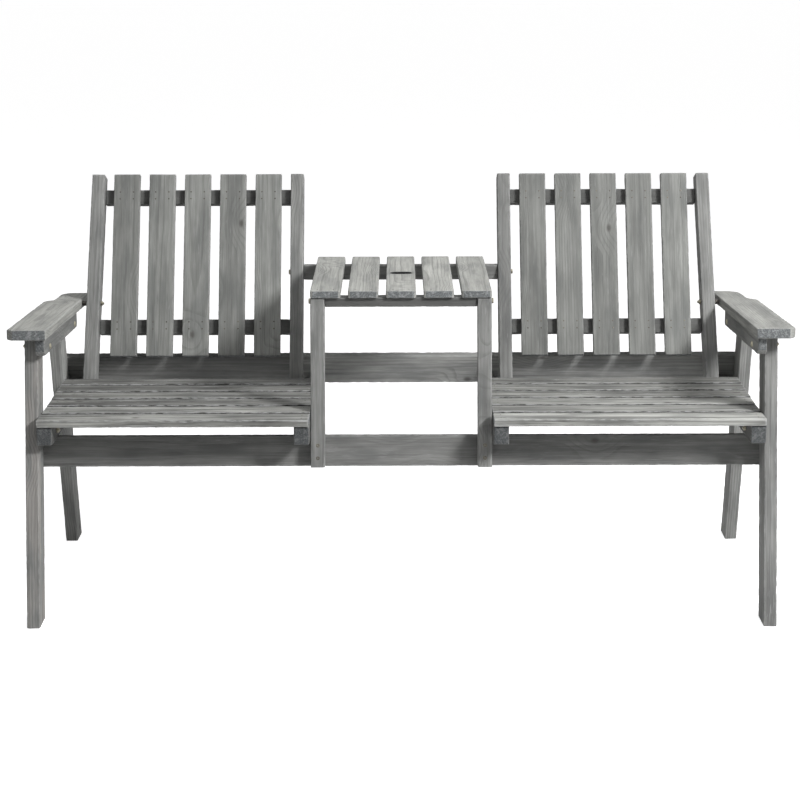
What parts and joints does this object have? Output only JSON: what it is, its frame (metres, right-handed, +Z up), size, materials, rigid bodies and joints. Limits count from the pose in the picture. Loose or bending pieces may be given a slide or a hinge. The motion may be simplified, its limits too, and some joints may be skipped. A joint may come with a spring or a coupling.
{
  "type": "companion seat bench",
  "caption": "Two slatted wooden garden chairs in one frame, joined by a small slatted table between them, with flat armrests and splayed legs.",
  "frame": {"origin": "middle of the bench seen from above, on the floor", "axes": "+X to the right of someone looking at the front, +Y towards the back, +Z up"},
  "size_m": [1.602, 0.6434, 0.8612],
  "materials": {
    "frame_boards": "matt grey stain over softwood",
    "top_boards": "matt grey stain, worn and weathered",
    "back_boards": "matt grey stain with open grain",
    "plated_steel": "yellow zinc plating, dull"
  },
  "bodies": {
    "root": {"arm_rail_left": "frame_boards", "arm_rail_right": "frame_boards", "armrest_left": "top_boards", "armrest_right": "top_boards", "armrest_screws": "plated_steel", "back_post_inner_left": "frame_boards", "back_post_inner_right": "frame_boards", "back_post_outer_left": "frame_boards", "back_post_outer_right": "frame_boards", "back_rail_lower_left": "frame_boards", "back_rail_lower_right": "frame_boards", "back_rail_upper_left": "frame_boards", "back_rail_upper_right": "frame_boards", "back_slat_1_left": "back_boards", "back_slat_1_right": "back_boards", "back_slat_2_left": "back_boards", "back_slat_2_right": "back_boards", "back_slat_3_left": "back_boards", "back_slat_3_right": "back_boards", "back_slat_4_left": "back_boards", "back_slat_4_right": "back_boards", "back_slat_5_left": "back_boards", "back_slat_5_right": "back_boards", "carriage_bolts": "plated_steel", "front_leg_left": "frame_boards", "front_leg_right": "frame_boards", "front_lower_rail": "frame_boards", "hex_nuts": "plated_steel", "lag_screws": "plated_steel", "rail_screws": "plated_steel", "rear_leg_left": "frame_boards", "rear_leg_right": "frame_boards", "rear_wide_rail": "frame_boards", "seat_rail_inner_left": "frame_boards", "seat_rail_inner_right": "frame_boards", "seat_rail_outer_left": "frame_boards", "seat_rail_outer_right": "frame_boards", "seat_slat_1_left": "top_boards", "seat_slat_1_right": "top_boards", "seat_slat_2_left": "top_boards", "seat_slat_2_right": "top_boards", "seat_slat_3_left": "top_boards", "seat_slat_3_right": "top_boards", "seat_slat_4_left": "top_boards", "seat_slat_4_right": "top_boards", "seat_slat_5_left": "top_boards", "seat_slat_5_right": "top_boards", "seat_slat_6_left": "top_boards", "seat_slat_6_right": "top_boards", "slat_nails": "plated_steel", "table_front_rail": "frame_boards", "table_leg_left": "frame_boards", "table_leg_right": "frame_boards", "table_rear_rail": "frame_boards", "table_slat_1": "top_boards", "table_slat_2": "top_boards", "table_slat_3": "top_boards", "table_slat_4": "top_boards", "table_slat_5": "top_boards"}
  },
  "joints": []
}
